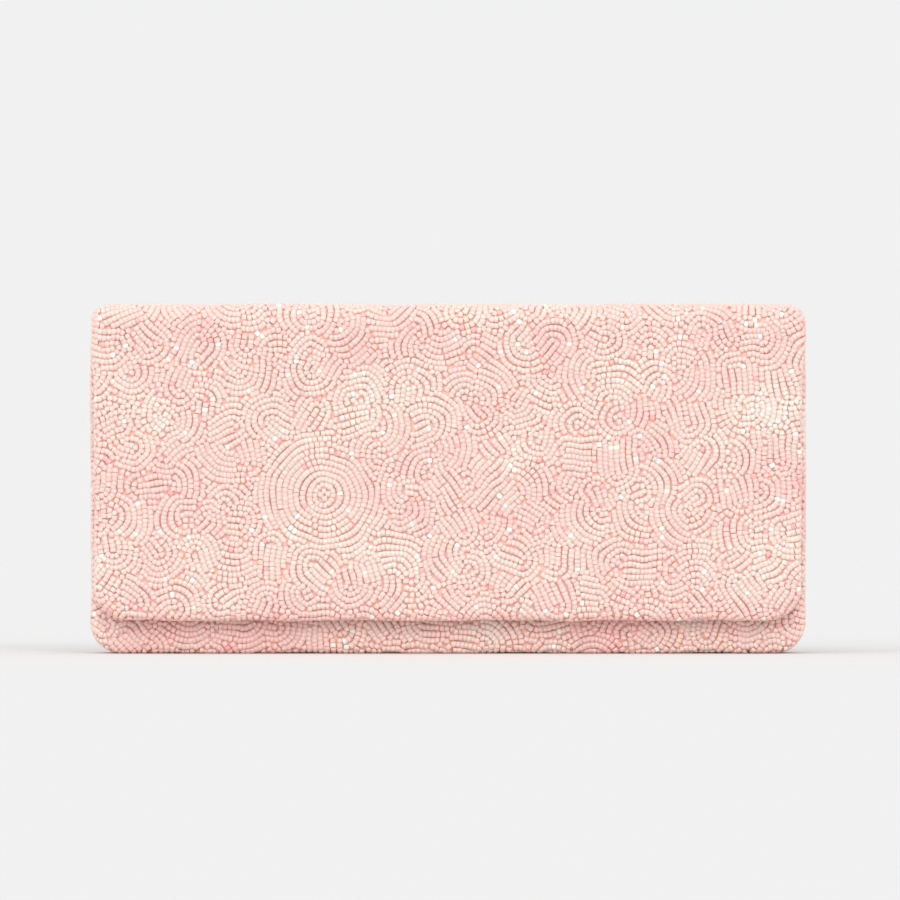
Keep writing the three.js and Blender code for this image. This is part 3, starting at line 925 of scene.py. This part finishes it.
def bead_piece(name, beads, which):
    """One mesh of many beads, each with its tint and its own cell of the bake's texture."""
    shape, faces, texture = one_bead
    count = len(which)
    size = beads["size"][which]
    scaled = shape[None] * np.stack([size[:, 0], size[:, 1], size[:, 1] * BEAD_FLATTENING], 1)[:, None]
    scaled[..., 2] += BEAD_RADIUS - shape[:, 2].max() * BEAD_FLATTENING
    points = beads["point"][which][:, None]
    for k, way in enumerate(("row", "side", "normal")):
        points = points + scaled[..., k : k + 1] * beads[way][which][:, None]
    per = len(shape)
    corners = np.array([i for face in faces for i in face])
    starts = np.cumsum([0] + [len(f) for f in faces])[:-1]
    vertex = (corners[None] + per * np.arange(count)[:, None]).ravel()
    start = (starts[None] + len(corners) * np.arange(count)[:, None]).ravel()
    mesh = bpy.data.meshes.new(name)
    mesh.vertices.add(per * count)
    mesh.vertices.foreach_set("co", (points * MM).astype(np.float32).ravel())
    mesh.loops.add(len(vertex))
    mesh.loops.foreach_set("vertex_index", vertex.astype(np.int32))
    mesh.polygons.add(len(start))
    mesh.polygons.foreach_set("loop_start", start.astype(np.int32))
    mesh.update(calc_edges=True)
    tints = np.repeat(beads["tint"][which], per).astype(np.float32)
    mesh.attributes.new("tint", "FLOAT", "POINT").data.foreach_set("value", tints)
    cells = math.ceil(math.sqrt(count))
    cell = np.stack([np.arange(count) % cells, np.arange(count) // cells], 1)
    margin = 0.08
    uv = (cell[:, None] + margin + (1 - 2 * margin) * texture[None]) / cells
    mesh.uv_layers.new(name="OFBake").uv.foreach_set("vector", uv.astype(np.float32).ravel())
    mesh.materials.append(materials["beads"])
    mesh.shade_smooth()
    obj = add_object(name, mesh)
    return obj


def bead_pieces(name, beads, chosen):
    """Beads split from left to right into pieces of a size that a mesh can hold."""
    index = np.flatnonzero(chosen)
    index = index[np.argsort(beads["u"][index], kind="stable")]
    parts = np.array_split(index, math.ceil(len(index) / MOST_BEADS))
    return [bead_piece(f"{name}_{k + 1}", beads, part) for k, part in enumerate(parts)]


# =================================================== linings and stitches
LINING_REACH = 130          # more than half of any lining's width


class Panel:
    """A flat rounded shape in space: (u, s) lies at place(u, s, lift)."""

    def __init__(self, half, low, high, low_radius, high_radius, place):
        self.half = half if callable(half) else constant(half)
        self.sizes = (low, high, low_radius, high_radius)
        self.place = place

    def outline(self, inset=0.0):
        low, high, low_radius, high_radius = self.sizes
        shrink = lambda radius: max(radius - inset, 0)
        half = lambda s: self.half(s) - inset
        return closed_outline(half, low + inset, high - inset, shrink(low_radius), shrink(high_radius))

    def depth(self, u, s):
        return -rectangle_distance(u, s, self.half(s), *self.sizes)[0]


def upright(y, way):
    """Puts a flat shape at y, as wide as X and as high as Z, with its face towards way."""
    return lambda u, s, lift: np.stack([u, y + way * lift, s], 1)


def soft_panel(name, panel, thickness, puff, seed, kind="satin", spacing=(5.0, 4.0), hole=None, swell=None):
    """A sheet with a turned-in round edge and slight creases. swell adds a shape of its own to the lift."""
    low, high = panel.sizes[:2]
    grid = flat_grid(np.arange(-LINING_REACH, LINING_REACH, spacing[0]), np.arange(low, high, spacing[1]))
    inner = [grid[panel.depth(grid[:, 0], grid[:, 1]) > 5.0]]
    inner += [panel.outline(inset) for inset in (0.25, 0.7, 1.5, 3.0)]
    flat, faces = triangulate(panel.outline(), clear_of(np.vstack(inner), hole), hole)
    u, s = flat.T
    inside = np.clip(panel.depth(u, s), 0, None)
    rounded = np.sqrt(1 - (1 - np.clip(inside / thickness, 0, 1)) ** 2)
    creases = ripple(seed, 0.5, 30.0)(u, s) + ripple(seed + 1, 0.3, 9.0)(u - 0.4 * s, 0.3 * s)
    lift = thickness * (0.35 + 0.65 * rounded) + puff * np.clip(inside / 6, 0, 1) * (0.5 + creases)
    under = np.zeros(len(u))
    if swell is not None:
        lift, under = lift + swell(u, s), under + swell(u, s)
    points, solid = thicken(panel.place(u, s, lift), panel.place(u, s, under), faces)
    return make_object(name, points, solid, materials[kind], kind), flat, faces


STITCH_LENGTH = 2.2
STITCH_PITCH = 3.2
STITCH_RADIUS = 0.26


def stitch_row(name, line, up, slant=0.0):
    """Short threads that lie along a line of points, each sunk into the cloth at its two ends."""
    line, up = np.asarray(line), np.asarray(up, float)
    length = running_length(line)
    if up.ndim == 1:
        up = np.tile(up, (len(line), 1))
    read = lambda table, at: np.array([np.interp(at, length, table[:, k]) for k in range(3)])
    points, faces = [], []
    sides, rings = 6, 7
    for middle in np.arange(STITCH_PITCH / 2, length[-1] - STITCH_LENGTH / 2, STITCH_PITCH):
        centre, normal = read(line, middle), read(up, middle)
        along = unit(read(line, middle + 0.5) - read(line, middle - 0.5))
        across = np.cross(normal, along)
        along = along * math.cos(slant) + across * math.sin(slant)
        across = np.cross(normal, along)
        first = len(points)
        for ring in range(rings):
            t = 2 * ring / (rings - 1) - 1
            radius = STITCH_RADIUS * math.sqrt(max(1 - t**4, 0.02))
            place = centre + along * t * STITCH_LENGTH / 2 + normal * STITCH_RADIUS * (0.75 - 1.2 * t * t)
            for k in range(sides):
                a = 2 * math.pi * k / sides
                points.append(place + radius * (math.cos(a) * across + math.sin(a) * normal))
        for ring in range(rings - 1):
            for k in range(sides):
                n = (k + 1) % sides
                one, two = first + ring * sides, first + (ring + 1) * sides
                faces.append((one + k, one + n, two + n, two + k))
        faces.append(tuple(first + k for k in reversed(range(sides))))
        faces.append(tuple(first + (rings - 1) * sides + k for k in range(sides)))
    return make_object(name, points, faces, materials["thread"], "satin")


def grid_sheet(name, outer, inner):
    """Satin as a closed thin solid between two equal grids of points, rows by columns by 3."""
    rows, columns = outer.shape[:2]
    faces = []
    for i in range(rows - 1):
        for j in range(columns - 1):
            k = i * columns + j
            faces.append((k, k + 1, k + columns + 1, k + columns))
    points, solid = thicken(outer.reshape(-1, 3), inner.reshape(-1, 3), faces)
    return make_object(name, points, solid, materials["satin"], "satin")


def section_sheet(name, section, reach, thickness, seed):
    """A strip of satin with one section (y, z) all across the bag, as wide at each height as reach says."""
    section = np.array(section, float)
    length = running_length(section)
    s = np.linspace(0, length[-1], 25)
    # Each point is the mean of three on the section, which rounds its corners.
    near = [np.clip(s + k, 0, length[-1]) for k in (-0.8, 0, 0.8)]
    line = np.stack([sum(np.interp(at, length, section[:, i]) for at in near) / 3 for i in (0, 1)], 1)
    line[0], line[-1] = section[0], section[-1]
    along = np.gradient(line, axis=0)
    normal = unit(np.stack([-along[:, 1], along[:, 0]], 1))
    half = reach(line[:, 1])
    crease = ripple(seed, 0.12, 14.0)
    ss, xx = np.meshgrid(s, np.linspace(-1, 1, 60), indexing="ij")
    xx = xx * half[:, None]
    fade = np.sin(math.pi * ss / length[-1])
    layers = []
    for lift in (thickness / 2, -thickness / 2):
        out = (crease(xx, ss) * fade + lift)[..., None] * normal[:, None]
        layers.append(np.concatenate([xx[..., None], line[:, None] + out], 2))
    return grid_sheet(name, *layers), (2 * float(half.mean()), length[-1])


# =================================================== build
make_camera()
make_light()
make_floor()
materials = make_materials()

# ---- Beaded cloth ----
top, bends = long_skin()
front = front_skin()
base = base_skin()
flap_foot = flap_low[2] + EDGE_RADIUS
front_foot = front_low[2] + EDGE_RADIUS


def within_lip(skin):
    return lambda u, s: skin.outside(u, s)[0] < skin.lip(np.clip(s, 0, skin.end))


def front_allowed(u, s):
    return within_lip(front)(u, s) & (np.hypot(u, s - (snap_z - front_foot)) > snap_radius + SNAP_MARGIN)


def base_allowed(u, s):
    return (np.abs(u) < (bottom_high[1] - bottom_low[1]) / 2 - BEAD_RADIUS) & (s > 0) & (s < base.end)


# Patches that the eye picks out: a whorl left of the middle, and two long loops that lean together.
# Each has its middle (x, z), the loops' start from there, their direction, length and extra size.
large_patches = [
    ((x, z - flap_foot), offset, degrees, length, larger)
    for (x, z), offset, degrees, length, larger in (
        ((-44.0, 56.0), 0.0, 0, 0.6, 14.0),
        ((13.9, 59.0), -11.0, 227, 26.0, 4.5),
        ((-0.8, 58.0), -12.0, 304, 26.0, 3.0),
    )
]
wide = widest - 4
long_beads = lay_beads(top, within_lip(top), (-wide, -7), (wide, top.end + 7), 101, large_patches)
front_beads = lay_beads(front, front_allowed, (-wide, -7), (wide, front.end + 7), 202)
base_beads = lay_beads(base, base_allowed, (-9, -1), (9, base.end + 1), 303)

beaded_parts = (
    # name, from, to, node that it stands for, body or bodies, what it lies on
    ("flap", -1, bends[0], "flap_cover", "flap", "flap_padding_fleece"),
    ("front_fold", bends[0], bends[1], "front_fold", ("spine", "flap"), "spine_board_rounded"),
    ("spine", bends[1], bends[2], "spine_cover", "spine", "spine_board_rounded"),
    ("back_fold", bends[2], bends[3], "back_fold", ("body", "spine"), "spine_board_rounded"),
    ("back", bends[3], top.end + 9, "back_cover", "body", "back_padding_fleece"),
)
BEND_INSET = 0.8    # how far the two end points of a bend, listed below, lie inside where its turned-down ends meet the panels
bend_ends = {
    "front_fold": (
        (0, -fold_y - BEND_INSET, height - BEND_INSET),
        (0, -fold_y - fold_radius + BEND_INSET, fold_z + BEND_INSET),
    ),
    "back_fold": (
        (0, fold_y + fold_radius - BEND_INSET, fold_z + BEND_INSET),
        (0, fold_y + BEND_INSET, height - BEND_INSET),
    ),
}
RIM_START = 1.5     # how far out on a bend's turned-down ends its beads begin to go into strips of their own
RIM_STRIPS = 5      # on each bend


def attach(piece, body):
    """Makes a piece ride on a body; a piece between two bodies only gets its transform baked into its mesh.
    """
    if isinstance(body, tuple):
        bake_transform(piece)
    else:
        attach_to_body(piece, body)


def bend_strips(name, chosen, low_s, high_s, bodies):
    """The beads on a bend's turned-down ends, cut into strips that are pieces of their own."""
    marks = np.linspace(low_s, high_s, RIM_STRIPS + 1)
    strips = []
    for k, (low, high) in enumerate(zip(marks[:-1], marks[1:])):
        which = np.flatnonzero(chosen & (long_beads["s"] >= low) & (long_beads["s"] < high))
        strip = bead_piece(f"{name}_rim_beads_{k + 1}", long_beads, which)
        middle = top.path.at(np.array([(low + high) / 2]))[0][0]
        attach(strip, bodies)
        strips.append(strip)
    return strips


for name, low_s, high_s, node, body, under in beaded_parts:
    chosen = (long_beads["s"] >= (low_s if low_s > 0 else -99)) & (long_beads["s"] < high_s)
    rim = chosen & (name in bend_ends) & (top.outside(long_beads["u"], long_beads["s"])[0] > RIM_START)
    pieces = bead_pieces(f"{name}_beads", long_beads, chosen & ~rim)
    strips = bend_strips(name, rim, low_s, high_s, body) if name in bend_ends else []
    spacing = (4.0, 1.2) if name in bend_ends else (5.0, 4.0)
    cloth, flat, faces = cloth_piece(f"{name}_cloth", top, low_s, high_s, spacing)
    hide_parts(node)
    for piece in [cloth, *pieces]:
        attach(piece, body)

for name, skin, beads, node, body, under in (
    ("front", front, front_beads, "front_cover", "front_panel", "front_padding_fleece"),
    ("base", base, base_beads, "bottom_cover", "body", "bottom_board"),
):
    pieces = bead_pieces(f"{name}_beads", beads, np.ones(len(beads["u"]), bool))
    cloth, flat, faces = cloth_piece(f"{name}_cloth", skin, -1, skin.end + 1)
    stand_in(cloth, node, body)
    for piece in pieces:
        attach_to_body(piece, body)

# ---- Fleece ----
pad_piece("flap_padding", top, -1, bends[0] - 0.5, "flap")
pad_piece("back_padding", top, bends[3] + 0.5, top.end + 1, "body")
pad_piece("front_padding", front, -1, front.end + 1, "front_panel")


def spine_board():
    """The spine's board, with its ends rounded under the turned-down cloth."""
    low, high = box_mm("spine_board")
    place = lambda u, s, lift: np.stack([u, s, low[2] + lift], 1)
    panel = Panel(high[0] - 1.6, low[1], high[1], 2.0, 2.0, place)
    obj, _, _ = soft_panel("spine_board_rounded", panel, high[2] - low[2] - 0.25, 0.0, 51, "board")
    stand_in(obj, "spine_board", "spine")


spine_board()

# ---- Satin ----
LAP = 1.2           # how far a lining laps over the turned cloth, past its CAD layer
LAYER_INSET = 2.9   # of the CAD layers, from the panel's outline


def lining(node, name, body, way, low_corner, high_corner, seed, hole=None):
    """A panel's satin, puffed a little towards way (1 is the back, -1 the front)."""
    low, high = box_mm(node)
    wall = low[1] if way > 0 else high[1]
    low_radius, high_radius = (max(corner - LAYER_INSET + LAP, 0) for corner in (low_corner, high_corner))
    top_z = high[2] + (LAP if high_radius else 0.0)
    flare = back_high[0] - flap_high[0] if body == "flap" else 0.0
    half = lambda z: high[0] + LAP + ease(z, fold_z - FLAP_FLARE, fold_z, 0, flare)
    panel = Panel(half, low[2] - LAP, top_z, low_radius, high_radius, upright(wall, way))
    thickness = high[1] - low[1] - 0.1
    obj, flat, faces = soft_panel(name, panel, thickness, 0.45, seed, hole=hole)
    stand_in(obj, node, body)
    inset = panel.outline(1.1)
    line = np.vstack([inset, inset[:1]])
    if high_radius == 0:
        # No stitches along the bend: the line runs from its one end round to the other.
        keep = line[:, 1] < top_z - 2
        first_end = int(np.argmax(~keep))
        rest = np.flatnonzero(keep & (np.arange(len(line)) > first_end))
        line = np.vstack([line[rest], line[:first_end]])
    places = panel.place(line[:, 0], line[:, 1], np.full(len(line), thickness))
    stitches = stitch_row(f"{name}_stitches", places, way * Y, 0.5)
    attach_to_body(stitches, body)


rivet_hole = 2.3    # its radius
lining("flap_facing", "flap_facing_satin", "flap", 1, FLAP_CORNER, 0, 61, circle((0, snap_z), rivet_hole))
lining("front_lining", "front_lining_satin", "front_panel", 1, BASE_CORNER, MOUTH_CORNER, 63)
lining("back_lining", "back_lining_satin", "body", -1, BASE_CORNER, 0, 65)


def inside_ends(z):
    """How far to the side a lining reaches at a height inside the top's rounded ends."""
    room = CENTRE_END + CLOTH_LIFT - CLOTH_THICKNESS + 0.1
    return back_high[0] - END_RADIUS + np.sqrt(room**2 - np.clip(z - height + END_RADIUS, 0, None) ** 2)


def spine_satin():
    low, high = box_mm("spine_lining")
    place = lambda u, s, lift: np.stack([u, -s, high[2] - lift], 1)
    panel = Panel(float(inside_ends(high[2])), low[1], high[1], 2.0, 2.0, place)
    obj, flat, faces = soft_panel("spine_lining_satin", panel, high[2] - low[2] - 0.1, 0.15, 67)
    stand_in(obj, "spine_lining", "spine")


spine_satin()


def hinge_satin(name, sign, bodies):
    """The lining's own strip inside a bend, from the panel's lining to the spine's. sign is -1 in front."""
    facing = box_mm("flap_facing")[0][1] if sign < 0 else box_mm("back_lining")[1][1]
    spine_z = spine_low[2]
    section = [
        (facing - 0.2 * sign, fold_z - 2.6),
        (facing - 0.2 * sign, fold_z - 0.3),
        (facing + 2.4 * sign, fold_z + 0.5),
        (facing + 3.7 * sign, spine_z - 0.2),
        (facing + 2.7 * sign, spine_z + 1.5),
        (facing + 0.5 * sign, spine_z + 1.3),
        (facing - 0.3 * sign, spine_z - 0.4),
        (facing - 2.6 * sign, spine_z - 0.5),
    ]
    obj, size = section_sheet(name, section, inside_ends, 0.3, 71 + sign)
    # Its two ends lie under the linings.
    attach(obj, bodies)


hinge_satin("front_hinge_satin", -1, ("spine", "flap"))
hinge_satin("back_hinge_satin", 1, ("body", "spine"))


def base_satin():
    """The floor's lining, turned up in a cove at both ends."""
    low, high = box_mm("bottom_lining")
    cove = 8.2
    turn_x, thickness = high[0] - 1.5, high[2] - low[2] - 0.1
    points, normals = [], []
    for sign, start, end in ((-1, 180, 270), (1, 270, 360)):
        more, ways = arc_points((sign * turn_x, 0, high[2] + cove), cove, start, end, X, Z, 12)
        points += more
        normals += ways
    path = Path(points, normals)
    end = path.length[-1]
    s = np.concatenate([np.linspace(0, 13, 14), np.linspace(17, end - 17, 46), end + np.linspace(-13, 0, 14)])
    y = np.linspace(low[1] + 0.2, high[1] - 0.2, 9)
    ss, yy = np.meshgrid(s, y, indexing="ij")
    crease = ripple(73, 0.12, 20.0)(ss, yy).ravel()
    layers = []
    for lift in (-0.1 - crease, np.full(len(crease), thickness)):
        point, normal = path.at(ss.ravel())
        point = point + normal * lift[:, None]
        point[:, 1] = yy.ravel()
        layers.append(point.reshape(*ss.shape, 3))
    obj = grid_sheet("bottom_lining_satin", *layers)
    stand_in(obj, "bottom_lining", "body")


base_satin()


GUSSET_TUCK = 2.2   # how far a side wall goes down behind the base's turned-up end
HEM_HALF = 0.42     # half the thickness of its hem


def gusset_satin(side):
    """A side wall: one soft pleat that grows from nothing at its foot, with a turned hem on top."""
    node = "right_gusset" if side > 0 else "left_gusset"
    outer_x = gusset_high[0] - 0.5
    pleat = outer_x - gusset_low[0] - 0.6
    rows, columns = 42, 33
    foot = gusset_low[2]
    z = np.linspace(foot - GUSSET_TUCK, gusset_high[2], rows)
    t = np.linspace(0, 1, columns)
    tt, zz = np.meshgrid(t, z)
    share = np.clip((zz - foot) / (z[-1] - foot), 0, 1)
    tucked = np.clip((foot - zz) / GUSSET_TUCK, 0, 1)
    tent = 1 - np.sqrt((2 * tt - 1) ** 2 + 0.012) + math.sqrt(0.012)
    tent = np.clip(tent, 0, None) ** (1.15 - 0.1 * share)
    crease = ripple(81 + side, 0.22, 17.0)(tt * 20, zz) * np.sin(math.pi * tt) * share
    x = outer_x - 0.9 * tucked - pleat * share * tent + crease
    y = front_high[1] + 0.1 + (back_low[1] - front_high[1] - 0.2) * tt
    middle = np.stack([x, y, zz], 2)
    normal = unit(np.cross(np.gradient(middle, axis=1), np.gradient(middle, axis=0)))
    in_hem = z[-1] - zz < 4.0
    half = np.where(in_hem, HEM_HALF, 0.25)[..., None]
    scale = np.array([side, 1, 1])
    outer, inner = (middle + normal * half) * scale, (middle - normal * half) * scale
    if side < 0:
        outer, inner = inner, outer
    obj = grid_sheet(f"{node}_satin", outer, inner)
    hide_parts(node)
    hem_row = int(np.argmin(np.abs(z - (z[-1] - 3.2))))
    line = (middle[hem_row] + normal[hem_row] * HEM_HALF) * scale
    stitches = stitch_row(f"{node}_stitches", line, normal[hem_row] * scale)
    for piece in (obj, stitches):
        attach(piece, ("front_panel", "body"))


for side in (-1, 1):
    gusset_satin(side)


def card_pocket():
    """A slip pocket on the back lining that stands open a little at its hemmed mouth."""
    half = pocket_high[0]
    low_z, high_z = pocket_low[2], pocket_high[2]
    wall, room = pocket_high[1], pocket_high[1] - pocket_low[1] - 1.1
    hem = 7.0

    def swell(u, s):
        across = np.clip(1 - (np.abs(u) / (half - 2)) ** 3, 0, 1)
        up = np.sin(np.clip((s - low_z - 2) / (high_z - low_z - 2), 0, 1) * math.pi / 2)
        turned_in = 0.35 * ease(s, high_z - hem - 0.6, high_z - hem, 0, 1)
        return 0.15 + room * across * up + turned_in

    panel = Panel(half, low_z, high_z, 4.0, 0.0, upright(wall, -1))
    obj, flat, faces = soft_panel("slip_pocket_satin", panel, 0.5, 0.15, 91, spacing=(3.0, 2.0), swell=swell)
    stand_in(obj, "slip_pocket", "body")
    edge = panel.outline(1.2)
    edge = edge[np.argsort(np.arctan2(edge[:, 0], (low_z + high_z) / 2 + 6 - edge[:, 1]))]
    edge = edge[edge[:, 1] < high_z - 1.5]
    hem_line = np.stack([np.linspace(-half + 2, half - 2, 60), np.full(60, high_z - hem + 0.8)], 1)
    rows = []
    for name, line in (("seam", edge), ("hem", hem_line)):
        u, s = line.T
        rows.append(stitch_row(f"slip_pocket_{name}_stitches", panel.place(u, s, swell(u, s) + 0.5), -Y))
        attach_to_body(rows[-1], "body")


card_pocket()

# ---- Magnetic snap ----
def snap():
    """The socket's cup and front plate on the body, and the stud on the flap, with softened edges."""
    case_low, case_high = box_mm("snap_socket_case")
    plate_low, plate_high = box_mm("snap_socket_plate")
    face, head = case_low[1], case_high[1]
    r, inner = case_high[0], plate_high[0] + 0.3
    floor = box_mm("snap_magnet")[1][1] + 0.3
    cup = [
        (0, floor), (inner, floor), (inner, face + 0.2), (inner + 0.12, face), (r - 0.2, face),
        (r, face + 0.2), (r, floor + 0.2), (r - 0.25, floor + 0.45), (2.0, floor + 0.45), (2.0, head - 0.4),
        (3.05, head - 0.4), (3.2, head - 0.28), (3.2, head - 0.12), (3.05, head), (0, head),
    ]
    hole, rim = 3.9, plate_high[0]
    back, front_y = plate_high[1], plate_low[1]
    plate = [
        (hole, back), (hole, front_y + 0.12), (hole + 0.12, front_y), (5.4, front_y), (5.5, front_y + 0.1),
        (5.9, front_y + 0.1), (6.0, front_y), (rim - 0.12, front_y), (rim, front_y + 0.12), (rim, back),
    ]
    stud_plate = box_mm("flap_facing")[1][1] + 0.3
    tip, rivet = stud_high[1], stud_low[1]
    flange = stud_plate + 0.7
    stud = [
        (0, rivet), (3.05, rivet), (3.2, rivet + 0.12), (3.2, rivet + 0.4), (2.0, rivet + 0.4),
        (2.0, stud_plate), (snap_radius - 0.15, stud_plate), (snap_radius, stud_plate + 0.15),
        (snap_radius, flange - 0.25), (snap_radius - 0.25, flange), (7.2, flange), (7.05, flange - 0.12),
        (6.6, flange - 0.12), (6.45, flange), (3.35, flange), (3.0, flange + 0.12), (2.88, flange + 0.4),
        (2.6, tip - 0.3), (2.4, tip - 0.08), (2.1, tip), (0, tip),
    ]
    for name, profile, node, body in (
        ("socket_cup", cup, "snap_socket_case", "front_panel"),
        ("socket_front", plate, "snap_socket_plate", "front_panel"),
        ("stud_turned", stud, "snap_stud", "flap"),
    ):
        stand_in(turned(name, profile, materials["gilt"]), node, body)


snap()

# ---- CAD pieces whose shape is already right ----
for node, material in (
    ("back_board", "board"), ("front_board", "board"), ("flap_board", "board"), ("bottom_board", "board"),
    ("snap_magnet", "ferrite"), ("snap_socket_washer", "steel"), ("snap_stud_washer", "steel"),
):
    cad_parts[node].material_slots[0].material = materials[material]
